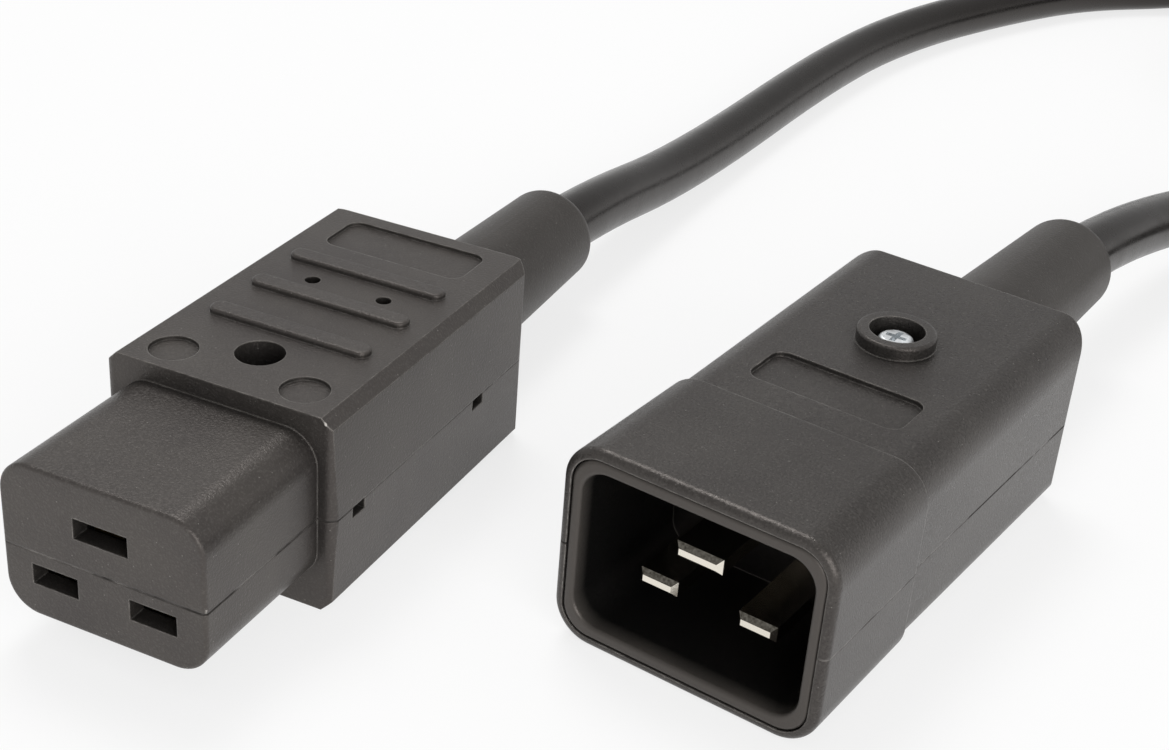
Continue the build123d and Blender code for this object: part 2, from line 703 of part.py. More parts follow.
with BuildPart() as plug_pin_carrier:
    with BuildSketch(across(0)):
        with Locations((0, PLUG_AXIS)):
            RectangleRounded(CARRIER_WIDTH, CARRIER_HEIGHT, CARRIER_CORNER)
    extrude(amount=-CARRIER_STEP)
    with BuildSketch(across(0)):
        with Locations((0, PLUG_AXIS)):
            RectangleRounded(MOUTH_WIDTH, MOUTH_HEIGHT, MOUTH_CORNER)
    extrude(amount=-MOUTH_DEPTH, mode=Mode.SUBTRACT)
    fillet(faces().sort_by(Axis.Y)[0].edges(), 0.5)
    with BuildSketch(across(CARRIER_STEP)):
        with Locations((0, PLUG_AXIS)):
            RectangleRounded(NECK_WIDTH, NECK_HEIGHT, MOUTH_CORNER)
    extrude(amount=-NECK_LENGTH)
    with BuildSketch(across(CARRIER_STEP + NECK_LENGTH)):
        with Locations((0, PLUG_AXIS)):
            RectangleRounded(HEEL_WIDTH, HEEL_HEIGHT, MOUTH_CORNER)
    extrude(amount=-HEEL_THICK)
    with BuildSketch(across(MOUTH_DEPTH)):
        with Locations((0, PLUG_EARTH_Z)):
            Rectangle(EARTH_BLADE + 2 * FIT, BLADE_THICK + 2 * FIT)
        with Locations((-POLE_PITCH / 2, PLUG_POLE_Z), (POLE_PITCH / 2, PLUG_POLE_Z)):
            Rectangle(POLE_BLADE + 2 * FIT, BLADE_THICK + 2 * FIT)
    extrude(amount=-(CARRIER_LENGTH - MOUTH_DEPTH), mode=Mode.SUBTRACT)


def pin(blade, tip, z, wire_side):
    """A flat pin with a bevelled tip, on a block with the wire's bore."""
    block_width = blade + SLOT_PLAY + 2 * CHAMBER_SIDE - 2 * SLIDE
    middle = CARRIER_LENGTH + BLOCK_LENGTH / 2
    with BuildPart() as piece:
        with BuildSketch(across(tip)):
            with Locations((0, z)):
                Rectangle(blade, BLADE_THICK)
        extrude(amount=-(CARRIER_LENGTH - tip))
        chamfer(faces().sort_by(Axis.Y)[0].edges(), BLADE_THICK * 0.3)
        with BuildSketch(across(CARRIER_LENGTH)):
            with Locations((0, z)):
                Rectangle(block_width, BLOCK_HEIGHT)
        extrude(amount=-BLOCK_LENGTH)
        if wire_side:
            with BuildSketch(Plane.YZ.offset(-block_width / 2)):
                with Locations((middle, z)):
                    Circle(TERMINAL_BORE / 2)
            extrude(amount=BARE_END + SLIDE, mode=Mode.SUBTRACT)
        else:
            with BuildSketch(across(CARRIER_LENGTH + BLOCK_LENGTH)):
                with Locations((0, z)):
                    Circle(TERMINAL_BORE / 2)
            extrude(amount=BARE_END + SLIDE, mode=Mode.SUBTRACT)
        with BuildSketch(level(z)):
            with Locations((0, middle)):
                Circle(TERMINAL_SCREW / 2)
        extrude(amount=BLOCK_HEIGHT, mode=Mode.SUBTRACT)
    return piece


plug_pin_earth = pin(EARTH_BLADE, TIP_DEPTH - EARTH_LEAD, PLUG_EARTH_Z, wire_side=True)
plug_pin_pole = pin(POLE_BLADE, TIP_DEPTH, PLUG_POLE_Z, wire_side=False)

earth_block = EARTH_CHAMBER - 2 * SLIDE
socket_screw_row = BLOCK_FRONT + BLOCK_LENGTH / 2
plug_screw_row = CARRIER_LENGTH + BLOCK_LENGTH / 2
socket_terminal_screws = terminal_screws(
    [(0, socket_screw_row, EARTH_Z)]
    + [(side * POLE_PITCH / 2, socket_screw_row, POLE_Z) for side in (-1, 1)]
)
plug_terminal_screws = terminal_screws(
    [(0, plug_screw_row, PLUG_EARTH_Z)]
    + [(side * POLE_PITCH / 2, plug_screw_row, PLUG_POLE_Z) for side in (-1, 1)]
)
socket_cores = cores(SOCKET_REAR, SOCKET_CABLE_Z, BLOCK_FRONT, EARTH_Z, POLE_Z, earth_block)
plug_cores = cores(
    PLUG_LENGTH, PLUG_CABLE_Z, CARRIER_LENGTH, PLUG_EARTH_Z, PLUG_POLE_Z, earth_block
)

# Places of the two ends, and of a pole's contact or pin beside the middle
socket_place = Location((SOCKET_X, SOCKET_Y, 0), (0, 0, SOCKET_TURN))
plug_place = Location((PLUG_X, PLUG_Y, 0))
left = Location((-POLE_PITCH / 2, 0, 0))
right = Location((POLE_PITCH / 2, 0, 0))


def way_out(place, rear, cable_z):
    """The cable's first points: its cut end, a point in the sleeve and its first bend."""
    cut_end = place * Location((0, rear - JACKET_GAP, cable_z))
    sleeved = place * Location((0, rear + SLEEVED, cable_z + SAG))
    bend = place * Location((0, rear + SLEEVE_OUT + FREE_RUN, cable_z))
    return [tuple(way.position) for way in (cut_end, sleeved, bend)]


def tube(points):
    """Cable along its points: straight runs joined by arcs as large as the runs allow."""
    corners = [Vector(*p) for p in points]
    radii = []
    for before, corner, after in zip(corners, corners[1:], corners[2:]):
        turn = radians((corner - before).get_angle(after - corner))
        run = min((corner - before).length, (after - corner).length)
        radii.append(0.45 * run / tan(turn / 2))
    with BuildPart() as piece:
        with BuildLine():
            path = FilletPolyline(*points, radius=radii)
        with BuildSketch(Plane(path @ 0, z_dir=path % 0)):
            Circle(CABLE / 2)
        sweep(path=path)
    print("cable radii", [round(r) for r in radii], "length", round(path.length))
    print("volume by length", round(piece.part.volume / (pi * CABLE**2 / 4 * path.length), 4))
    return piece, path.length


# The coil lies on the table in two layers: three turns below and two in their grooves above
outer_turn = COIL_RADIUS + CABLE - TUCK
upper_turn = COIL_RADIUS + CABLE / 2 - TUCK
upper_z = CABLE / 2 + CABLE * sin(radians(60))
leave = radians(COIL_LEAVE)
leave_from = Vector(
    COIL_X + outer_turn * cos(leave), COIL_Y + outer_turn * sin(leave), CABLE / 2
)
leave_way = Vector(sin(leave), -cos(leave), 0)
stub_in_end = Vector(COIL_X - STUB_IN, COIL_Y + upper_turn, upper_z + STUB_LIFT)
level_start = stub_in_end - Vector(LEVEL_RUN, 0, 0)
stub_out_end = leave_from + leave_way * STUB_OUT

with BuildPart() as ring:
    with BuildSketch(Plane.XZ):
        with Locations((COIL_RADIUS, CABLE / 2)):
            SlotCenterToCenter(2 * CABLE, CABLE)
        with Locations((COIL_RADIUS, upper_z)):
            SlotCenterToCenter(CABLE, CABLE)
        with Locations((COIL_RADIUS, CABLE / 2)):
            Rectangle(CABLE, upper_z - CABLE / 2, align=(Align.CENTER, Align.MIN))
    revolve(axis=Axis.Z)

coil_place = Location((COIL_X, COIL_Y, 0))
with BuildPart() as coil:
    add(coil_place * ring.part)
    with BuildSketch(Plane(stub_in_end, z_dir=(1, 0, 0))):
        Circle(CABLE / 2)
    extrude(amount=STUB_IN)
    with BuildSketch(Plane(stub_out_end, z_dir=-leave_way)):
        Circle(CABLE / 2)
    extrude(amount=(leave_from - stub_out_end).length)

socket_way = way_out(socket_place, SOCKET_REAR, SOCKET_CABLE_Z)
plug_way = way_out(plug_place, PLUG_LENGTH, PLUG_CABLE_Z)
cable_from_socket, socket_run = tube(
    [*socket_way, *SOCKET_ROUTE, tuple(level_start), tuple(stub_in_end)]
)
cable_to_plug, plug_run = tube([*plug_way, *PLUG_ROUTE, tuple(stub_out_end)])
coil_run = COIL_TURNS * 2 * pi * COIL_RADIUS + STUB_IN + STUB_OUT
print("cable length", round(socket_run + plug_run + coil_run))

here = Location()
socket_rear_pieces = (SOCKET_REAR, SOCKET_CABLE_Z)
plug_rear_pieces = (PLUG_LENGTH, PLUG_CABLE_Z)
pieces = {
    "socket_shell_upper": (socket_shell_upper, socket_place),
    "socket_shell_lower": (socket_shell_lower, socket_place),
    "socket_contact_earth": (socket_contact_earth, socket_place),
    "socket_contact_left": (socket_contact_pole, socket_place * left),
    "socket_contact_right": (socket_contact_pole, socket_place * right),
    "socket_terminal_screws": (socket_terminal_screws, socket_place),
    "socket_core_earth": (socket_cores[0], socket_place),
    "socket_core_left": (socket_cores[1], socket_place),
    "socket_core_right": (socket_cores[2], socket_place),
    "socket_housing_screw": (housing_screw(SOCKET_SCREW_Y, SOCKET_SEAT), socket_place),
    "socket_housing_nut": (housing_nut(SOCKET_SCREW_Y), socket_place),
    "socket_clamp_bar": (clamp_bar(*socket_rear_pieces), socket_place),
    "socket_clamp_screws": (
        clamp_screws(SOCKET_REAR, SOCKET_SPLIT, SOCKET_CABLE_Z),
        socket_place,
    ),
    "socket_bend_sleeve": (bend_sleeve(*socket_rear_pieces), socket_place),
    "plug_shell_upper": (plug_shell_upper, plug_place),
    "plug_shell_lower": (plug_shell_lower, plug_place),
    "plug_pin_carrier": (plug_pin_carrier, plug_place),
    "plug_pin_earth": (plug_pin_earth, plug_place),
    "plug_pin_left": (plug_pin_pole, plug_place * left),
    "plug_pin_right": (plug_pin_pole, plug_place * right),
    "plug_terminal_screws": (plug_terminal_screws, plug_place),
    "plug_core_earth": (plug_cores[0], plug_place),
    "plug_core_left": (plug_cores[1], plug_place),
    "plug_core_right": (plug_cores[2], plug_place),
    "plug_housing_screw": (housing_screw(PLUG_SCREW_Y, PLUG_SEAT), plug_place),
    "plug_housing_nut": (housing_nut(PLUG_SCREW_Y), plug_place),
    "plug_clamp_bar": (clamp_bar(*plug_rear_pieces), plug_place),
    "plug_clamp_screws": (
        clamp_screws(PLUG_LENGTH, PLUG_SPLIT, PLUG_CABLE_Z),
        plug_place,
    ),
    "plug_bend_sleeve": (bend_sleeve(*plug_rear_pieces), plug_place),
    "cable_from_socket": (cable_from_socket, here),
    "cable_coil": (coil, here),
    "cable_to_plug": (cable_to_plug, here),
}

os.makedirs("parts", exist_ok=True)
for label, (piece, place) in pieces.items():
    solid = place * piece.part
    solid.label = label
    export_step(solid, f"parts/{label}.step")
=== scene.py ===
"""Looks of the power cord: its finishes, its wound cable, the table and the light.

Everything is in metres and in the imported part's own frame. The cable is one curve from the
cut end of its jacket inside the socket end, through the coil, to its cut end in the plug end.
"""

import json
from math import cos, pi, radians, sin, sqrt

import bpy
import numpy as np
from mathutils import Matrix, Vector


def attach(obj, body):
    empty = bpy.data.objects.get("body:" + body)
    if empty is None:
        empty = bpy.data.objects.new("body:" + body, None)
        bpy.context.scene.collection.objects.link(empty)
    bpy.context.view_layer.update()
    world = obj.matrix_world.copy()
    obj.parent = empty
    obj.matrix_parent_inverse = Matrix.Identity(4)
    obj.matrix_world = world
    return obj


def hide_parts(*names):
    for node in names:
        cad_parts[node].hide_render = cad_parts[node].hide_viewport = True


MM = 0.001
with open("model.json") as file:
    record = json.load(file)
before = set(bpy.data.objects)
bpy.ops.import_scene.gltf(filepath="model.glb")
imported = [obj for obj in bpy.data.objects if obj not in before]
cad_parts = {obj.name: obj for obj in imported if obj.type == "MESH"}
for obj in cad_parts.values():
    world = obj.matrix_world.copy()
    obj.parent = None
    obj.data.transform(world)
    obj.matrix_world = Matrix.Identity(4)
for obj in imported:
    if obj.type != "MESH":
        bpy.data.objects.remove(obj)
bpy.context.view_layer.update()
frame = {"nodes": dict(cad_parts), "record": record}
nodes = frame["nodes"]

# Camera: where it stands, how it is turned in degrees, and its lens on a 36 mm wide film
CAMERA_AT = Vector((110.25, -183.13, 134.78)) * MM
CAMERA_AZIMUTH = 32.7385
CAMERA_DOWN = 29.3179
CAMERA_ROLL = 4.6146
FILM_WIDTH = 36.0
LENS = 58.462


def make_camera():
    """The photograph's camera, as a turn about Z, a tilt down and a small roll."""
    data = bpy.data.cameras.new("photo_camera")
    data.sensor_width = FILM_WIDTH
    data.lens = LENS
    data.clip_start = 0.01
    data.clip_end = 20.0
    camera = bpy.data.objects.new("photo_camera", data)
    turn = Matrix.Rotation(radians(CAMERA_AZIMUTH), 4, "Z")
    tilt = Matrix.Rotation(radians(90.0 - CAMERA_DOWN), 4, "X")
    roll = Matrix.Rotation(radians(CAMERA_ROLL), 4, "Z")
    camera.matrix_world = Matrix.Translation(CAMERA_AT) @ turn @ tilt @ roll
    bpy.context.collection.objects.link(camera)
    bpy.context.scene.camera = camera


make_camera()

# Cable, in mm: its diameter, its two ends' places and the CAD part's route, whose last four
# points before the coil are up to 5 mm further back, as the photograph shows
CABLE = 9.0
SOCKET_AT = (-20.85, -71.35)
SOCKET_TURN = 9.33
SOCKET_REAR = 69.5
SOCKET_CABLE_Z = 11.0
PLUG_AT = (29.65, -33.55)
PLUG_REAR = 68.0
PLUG_CABLE_Z = 15.2
JACKET_GAP = 12.6
SLEEVED = 14.0
FIRST_BEND = 46.0
SOCKET_ROUTE = [
    (-44.5, 84.0, 4.5),
    (-51.2, 151.0, 4.5),
    (-49.5, 185.0, 4.5),
    (-41.2, 217.0, 4.5),
    (-32.0, 240.0, 4.5),
    (-17.0, 258.0, 4.5),
    (1.0, 270.0, 8.4),
    (20.0, 275.2, 13.2),
    (35.0, 275.9, 13.5),
    (56.0, 274.0, 13.4),
]
PLUG_ROUTE = [
    (33.7, 118.0, 10.0),
    (42.4, 136.0, 7.0),
    (56.7, 150.0, 4.5),
    (73.4, 157.8, 4.5),
]
COIL_AT = (69.0, 219.0)
COIL_RADIUS = 48.0
COIL_LEAVE = -65.0
COIL_SWEEP = 4 * 360 + 155
COIL_STEP = 14.5
RING_SIDES = 10
RINGS_A_POINT = 8


def straight_out(at, turn, rear, height):
    """The cable's first three points at one end: cut end, in the sleeve, first bend."""
    a = radians(turn)
    points = []
    for y in (rear - JACKET_GAP, rear + SLEEVED, rear + FIRST_BEND):
        points.append((at[0] - y * sin(a), at[1] + y * cos(a), height))
    return points


def ease(value):
    """Smooth step from 0 to 1 for a value that goes from 0 to 1."""
    t = min(max(value, 0.0), 1.0)
    return t * t * (3 - 2 * t)


def coil_point(swept):
    """A point of the coil after a swept angle, counted from where it leaves for the plug.

    Three turns lie below and the rest in their grooves, each a cable's width from the next.
    In the last third of each turn the lower ones move in by one width; the third climbs
    round its neighbour, and the upper layer moves out by one width.
    """
    lap, within = divmod(swept, 360.0)
    shift = ease((within - 240.0) / 120.0)
    z = CABLE / 2
    if swept < 720.0:
        radius = COIL_RADIUS + CABLE - CABLE * (lap + shift)
    elif swept < 720.0 + 150.0:
        radius = COIL_RADIUS - CABLE
    elif swept < 720.0 + 240.0:
        climb = radians(60.0) * ease((within - 150.0) / 90.0)
        radius = COIL_RADIUS - CABLE * cos(climb)
        z += CABLE * sin(climb)
    else:
        radius = COIL_RADIUS - CABLE / 2 + CABLE * ease((swept - 1110.0) / 120.0)
        below = (radius - COIL_RADIUS + CABLE * shift + CABLE / 2) % CABLE - CABLE / 2
        z += sqrt(CABLE**2 - below**2)
    angle = radians(COIL_LEAVE + swept)
    return COIL_AT[0] + radius * cos(angle), COIL_AT[1] + radius * sin(angle), z


def coil_points():
    """Control points of the coil, set out a little so that the curve keeps its radius."""
    grow = 1 / cos(radians(COIL_STEP / 2))
    points = []
    for swept in np.arange(COIL_STEP / 2, COIL_SWEEP, COIL_STEP):
        x, y, z = coil_point(float(swept))
        points.append(
            (COIL_AT[0] + (x - COIL_AT[0]) * grow, COIL_AT[1] + (y - COIL_AT[1]) * grow, z)
        )
    return points


def cable_curve(points, thickness):
    """One smooth open curve over the cable's control points, with a round section."""
    data = bpy.data.curves.new("cable", "CURVE")
    data.dimensions = "3D"
    data.bevel_depth = thickness / 2 * MM
    data.bevel_resolution = RING_SIDES
    data.resolution_u = RINGS_A_POINT
    data.use_fill_caps = True
    spline = data.splines.new("NURBS")
    spline.points.add(len(points) - 1)
    for target, (x, y, z) in zip(spline.points, points):
        target.co = (x * MM, y * MM, z * MM, 1.0)
    spline.order_u = 3
    spline.use_endpoint_u = True
    return bpy.data.objects.new("cable_line", data)


def cable_tube(points):
    """The cable's smooth tube, and the middle line that its rings follow."""
    line = bpy.data.meshes.new_from_object(cable_curve(points, 0.0))
    middle = [tuple(vertex.co) for vertex in line.vertices]
    mesh = bpy.data.meshes.new_from_object(cable_curve(points, CABLE))
    mesh.name = "cable"
    mesh.shade_smooth()
    tube = bpy.data.objects.new(mesh.name, mesh)
    bpy.context.collection.objects.link(tube)
    return tube, middle


def curve_length(points):
    """Length of the quadratic curve through the midpoints of its control legs, in mm."""
    legs = [Vector(p) for p in points]
    middles = [(a + b) / 2 for a, b in zip(legs, legs[1:])]
    total = (middles[0] - legs[0]).length + (legs[-1] - middles[-1]).length
    for a, corner, b in zip(middles, legs[1:], middles[1:]):
        last = a
        for step in range(1, 13):
            t = step / 12
            here = a * (1 - t) ** 2 + corner * 2 * t * (1 - t) + b * t * t
            total += (here - last).length
            last = here
    return total


socket_way = straight_out(SOCKET_AT, SOCKET_TURN, SOCKET_REAR, SOCKET_CABLE_Z)
plug_way = straight_out(PLUG_AT, 0.0, PLUG_REAR, PLUG_CABLE_Z)
route = socket_way + SOCKET_ROUTE + list(reversed(plug_way + PLUG_ROUTE + coil_points()))
cable, cable_middle = cable_tube(route)
cable_length = curve_length(route)
print("cable length mm", round(cable_length, 1))
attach(cable, "root")
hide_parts("cable_from_socket", "cable_coil", "cable_to_plug")


def linear(red, green, blue):
    """Linear colour of an sRGB one given from 0 to 255."""
    out = []
    for channel in (red, green, blue):
        c = channel / 255
        out.append(c / 12.92 if c <= 0.04045 else ((c + 0.055) / 1.055) ** 2.4)
    return (*out, 1.0)


# The black plastics' gloss is a little warm
WARM_GLOSS = (1.0, 0.9, 0.84, 1.0)
WHITE = (1.0, 1.0, 1.0, 1.0)


class Finish:
    """A procedural material, built on the object's own coordinates."""

    def __init__(self, name, colour, roughness, metallic=0.0, tint=WARM_GLOSS):
        self.material = bpy.data.materials.new(name)
        self.material.use_nodes = True
        self.tree = self.material.node_tree
        self.shader = self.tree.nodes["Principled BSDF"]
        self.shader.inputs["Base Color"].default_value = colour
        self.shader.inputs["Roughness"].default_value = roughness
        self.shader.inputs["Metallic"].default_value = metallic
        self.shader.inputs["Specular Tint"].default_value = tint
        self.place = self.tree.nodes.new("ShaderNodeTexCoord").outputs["Object"]
        self.height = None

    def node(self, kind, **settings):
        made = self.tree.nodes.new(kind)
        for name, value in settings.items():
            setattr(made, name, value)
        return made

    def link(self, source, target):
        self.tree.links.new(source, target)

    def noise(self, size_mm, detail=2.0, rough=0.5):
        """Noise whose grain is about size_mm across."""
        made = self.node("ShaderNodeTexNoise")
        made.inputs["Scale"].default_value = 1.0 / (size_mm * MM)
        made.inputs["Detail"].default_value = detail
        made.inputs["Roughness"].default_value = rough
        self.link(self.place, made.inputs["Vector"])
        return made.outputs["Fac"]

    def ramp(self, source, low, high, from_value, to_value):
        """Maps source from low..high to from_value..to_value."""
        made = self.node("ShaderNodeMapRange")
        made.inputs["From Min"].default_value = low
        made.inputs["From Max"].default_value = high
        made.inputs["To Min"].default_value = from_value
        made.inputs["To Max"].default_value = to_value
        self.link(source, made.inputs["Value"])
        return made.outputs["Result"]

    def axes(self, vector=None):
        """The X, Y and Z of a vector, or of the place on the object."""
        made = self.node("ShaderNodeSeparateXYZ")
        self.link(vector or self.place, made.inputs["Vector"])
        return made.outputs

    def facing(self):
        """The surface's own direction."""
        return self.node("ShaderNodeNewGeometry").outputs["Normal"]

    def blend(self, factor, first, second):
        """Mixes two colours, each a value or an output."""
        made = self.node("ShaderNodeMix", data_type="RGBA")
        self.link(factor, made.inputs["Factor"])
        for value, key in ((first, 6), (second, 7)):
            if isinstance(value, tuple):
                made.inputs[key].default_value = value
            else:
                self.link(value, made.inputs[key])
        return made.outputs[2]

    def bump(self, source, depth_mm, strength=1.0):
        """Adds a relief of depth_mm to the surface."""
        made = self.node("ShaderNodeBump")
        made.inputs["Strength"].default_value = strength
        made.inputs["Distance"].default_value = depth_mm * MM
        self.link(source, made.inputs["Height"])
        if self.height is not None:
            self.link(self.height, made.inputs["Normal"])
        self.height = made.outputs["Normal"]
        self.link(self.height, self.shader.inputs["Normal"])

    def to(self, socket, output):
        self.link(output, self.shader.inputs[socket])

    def maths(self, operation, first, second=None):
        """One sum of values or outputs."""
        made = self.node("ShaderNodeMath", operation=operation)
        for value, target in ((first, made.inputs[0]), (second, made.inputs[1])):
            if isinstance(value, float):
                target.default_value = value
            elif value is not None:
                self.link(value, target)
        return made.outputs[0]

    def rounded_edges(self, radius_mm):
        """Shades sharp edges as if rounded, and gives 1 on them and 0 elsewhere."""
        made = self.node("ShaderNodeBevel", samples=4)
        made.inputs["Radius"].default_value = radius_mm * MM
        self.height = made.outputs["Normal"]
        turn = self.node("ShaderNodeVectorMath", operation="DOT_PRODUCT")
        self.link(made.outputs["Normal"], turn.inputs[0])
        self.link(self.facing(), turn.inputs[1])
        return self.ramp(turn.outputs["Value"], 0.8, 0.97, 1.0, 0.0)

    def hollow_shade(self, reach_mm):
        """1 deep in holes, slots and inner corners, and 0 on open faces: where painted shade
        goes.
        """
        made = self.node("ShaderNodeAmbientOcclusion", samples=4, only_local=True)
        made.inputs["Distance"].default_value = reach_mm * MM
        return self.ramp(made.outputs["AO"], 0.35, 0.9, 1.0, 0.0)

    def line_at(self, height_mm, behind, width_mm):
        """1 on a thin level line, fading in and out along it.

        Behind the socket end's nose it is only as strong as the value behind says.
        """
        place = self.axes()
        near = self.maths("ABSOLUTE", self.maths("SUBTRACT", place["Z"], height_mm * MM))
        line = self.ramp(near, width_mm * 0.25 * MM, width_mm * 0.6 * MM, 1.0, 0.0)
        fade = self.ramp(self.noise(9.0, 3.0, 0.6), 0.4, 0.56, 0.12, 0.9)
        front = self.ramp(place["Y"], *NOSE_TO_BODY, 1.0, behind)
        return self.maths("MULTIPLY", self.maths("MULTIPLY", line, fade), front)

    def specks(self, apart_mm, size_mm, share):
        """1 on small dots, one in each cell for a share of the cells."""
        made = self.node("ShaderNodeTexVoronoi")
        made.inputs["Scale"].default_value = 1.0 / (apart_mm * MM)
        self.link(self.place, made.inputs["Vector"])
        colour = self.node("ShaderNodeSeparateColor")
        self.link(made.outputs["Color"], colour.inputs["Color"])
        kept = self.maths("LESS_THAN", colour.outputs["Red"], share)
        edge = size_mm / apart_mm
        dot = self.ramp(made.outputs["Distance"], edge * 0.5, edge, 1.0, 0.0)
        return self.maths("MULTIPLY", dot, kept)

    def nick_and_highlight_at(self, place_mm, size_mm):
        """1 within a small ragged spot around a place: a knocked edge, and on corners a painted
        highlight.
        """
        away = self.node("ShaderNodeVectorMath", operation="DISTANCE")
        self.link(self.place, away.inputs[0])
        away.inputs[1].default_value = tuple(value * MM for value in place_mm)
        ragged = self.maths("MULTIPLY_ADD", self.noise(0.5, 2.0, 0.5), size_mm * MM)
        ragged.node.inputs[2].default_value = -size_mm * 0.5 * MM
        spread = self.maths("ADD", away.outputs["Value"], ragged)
        return self.ramp(spread, size_mm * 0.3 * MM, size_mm * 0.6 * MM, 1.0, 0.0)


def spark_eroded(name, dark, light, roughness, parting=None, nicks_and_highlights=()):
    """Moulded plastic with the even grain of a spark-eroded tool, and faint cloudiness.

    Its sharp edges are shaded smoother, and painted lighter in patches, partly as wear and
    partly as a painted highlight; its hollows get painted shade. Where it has a parting, given
    as its height and its strength behind the nose, a thin dark line runs round it there. Bright
    spots, where given, are nicks and painted highlights.
    """
    finish = Finish(name, dark, roughness)
    edge = finish.rounded_edges(EDGE_RADIUS)
    cloud = finish.ramp(finish.noise(CLOUD, 3.0, 0.6), 0.3, 0.7, 0.0, 1.0)
    colour = finish.blend(cloud, dark, light)
    grain = finish.noise(SPARK_GRAIN, 2.0, 0.65)
    finish.bump(grain, 0.06, 1.0)
    speckle = finish.ramp(grain, 0.5, 0.75, 0.0, 0.12)
    colour = finish.blend(speckle, colour, WORN_AND_HIGHLIGHT)
    rough = finish.ramp(grain, 0.3, 0.7, roughness - 0.08, roughness + 0.08)
    # Painted highlight and wear: sharp edges turn lighter in patches
    wear_and_highlight_patches = finish.ramp(finish.noise(1.6, 3.0, 0.65), 0.36, 0.58, 0.25, 0.95)
    wear_and_highlight = finish.maths("MULTIPLY", edge, wear_and_highlight_patches)
    colour = finish.blend(wear_and_highlight, colour, WORN_AND_HIGHLIGHT)
    dust = finish.specks(*DUST_SPREAD)
    colour = finish.blend(finish.maths("MULTIPLY", dust, 0.6), colour, DUST)
    if parting is not None:
        line = finish.line_at(*parting, SEAM_WIDTH)
        colour = finish.blend(line, colour, SEAM_AND_HOLLOW_SHADE)
        rough = finish.maths("MAXIMUM", rough, line)
        finish.bump(finish.maths("SUBTRACT", 1.0, line), 0.1, 0.8)
    # Painted shade: holes, slots and inner corners darken towards the seam's black
    shade = finish.maths("MULTIPLY", finish.hollow_shade(HOLLOW_SHADE_REACH), 0.8)
    colour = finish.blend(shade, colour, SEAM_AND_HOLLOW_SHADE)
    # Bright spots, painted as nicks and as highlights on corners
    for place, size in nicks_and_highlights:
        colour = finish.blend(finish.nick_and_highlight_at(place, size), colour, BRUISE_AND_HIGHLIGHT)
    finish.to("Base Color", colour)
    finish.to("Roughness", rough)
    return finish.material


# Plastics' colours: worn edges and their painted highlight, bright nicks and painted
# highlights, dust, and the shadow in a seam, which also paints the shade in hollows
WORN_AND_HIGHLIGHT = linear(150, 146, 141)
BRUISE_AND_HIGHLIGHT = linear(205, 201, 195)
DUST = linear(150, 147, 142)
SEAM_AND_HOLLOW_SHADE = linear(12, 12, 11)
CHARCOAL = linear(50, 47, 46), linear(62, 59, 56)
PLUG_CHARCOAL = linear(42, 40, 39), linear(52, 50, 48)
WELL_SHADE_BLACK = linear(13, 13, 13)
# Their detail, in mm: patches of cloud, grain, edges, seams and the reach of painted shade in
# hollows, and dust as the specks' spacing, their size and the share of places that have one
CLOUD = 14.0
SPARK_GRAIN = 0.3
CARRIER_GRAIN = 0.42
EDGE_RADIUS = 0.3
SEAM_WIDTH = 0.34
HOLLOW_SHADE_REACH = 6.0
DUST_SPREAD = 0.8, 0.09, 0.25
# Partings: height in mm, and strength behind the nose, which ends between these two Ys
SOCKET_PARTING = 12.6, 0.45
PLUG_PARTING = 12.7, 1.0
NOSE_TO_BODY = -50.0 * MM, -40.0 * MM
# The carrier's painted shade turns it from grey rim to black well between these two depths, in
# mm
RIM_TO_WELL = 0.7, 2.6
# Bright spots, partly nicks and partly painted highlights: place and size, at the nose's
# parting, its upper corner and the body's upper corner
SOCKET_NICKS_AND_HIGHLIGHTS = [
    ((-7.5, -69.15, 13.0), 0.6),
    ((-9.7, -69.5, 23.5), 0.8),
    ((-9.9, -47.9, 25.6), 0.6),
]
socket_finish = spark_eroded("socket_shell", *CHARCOAL, 0.36, SOCKET_PARTING, SOCKET_NICKS_AND_HIGHLIGHTS)
plug_finish = spark_eroded("plug_shell", *PLUG_CHARCOAL, 0.33, PLUG_PARTING)
sleeve_finish = spark_eroded("sleeve_rubber", linear(42, 40, 38), linear(50, 48, 46), 0.44)
clamp_finish = spark_eroded("clamp_plastic", linear(48, 47, 46), linear(56, 54, 52), 0.5)


def carrier():
    """The pins' black block: its open rim has the shells' charcoal, and painted shade blackens
    its well.
    """
    finish = Finish("pin_carrier", linear(15, 15, 15), 0.36)
    edge = finish.rounded_edges(EDGE_RADIUS)
    # Painted shade: the well darkens with depth into the mouth
    shallow, deepest = (PLUG_AT[1] + depth for depth in RIM_TO_WELL)
    well_shade = finish.ramp(finish.axes()["Y"], shallow * MM, deepest * MM, 0.0, 1.0)
    colour = finish.blend(well_shade, CHARCOAL[1], WELL_SHADE_BLACK)
    grain = finish.noise(CARRIER_GRAIN, 2.0, 0.6)
    finish.bump(grain, 0.05, 0.6)
    # Edges turn a little lighter, as wear and as a painted highlight
    finish.to("Base Color", finish.blend(finish.maths("MULTIPLY", edge, 0.25), colour, WORN_AND_HIGHLIGHT))
    finish.to("Roughness", finish.ramp(grain, 0.3, 0.7, 0.3, 0.42))
    return finish.material


def jacket():
    """Cable jacket: smooth black plastic, slightly uneven along its length."""
    finish = Finish("cable_jacket", linear(17, 16, 15), 0.26)
    finish.bump(finish.noise(9.0, 2.0, 0.5), 0.25, 0.25)
    finish.bump(finish.noise(0.5, 2.0, 0.5), 0.015, 0.4)
    finish.to("Roughness", finish.ramp(finish.noise(4.0, 3.0, 0.6), 0.3, 0.7, 0.22, 0.3))
    return finish.material


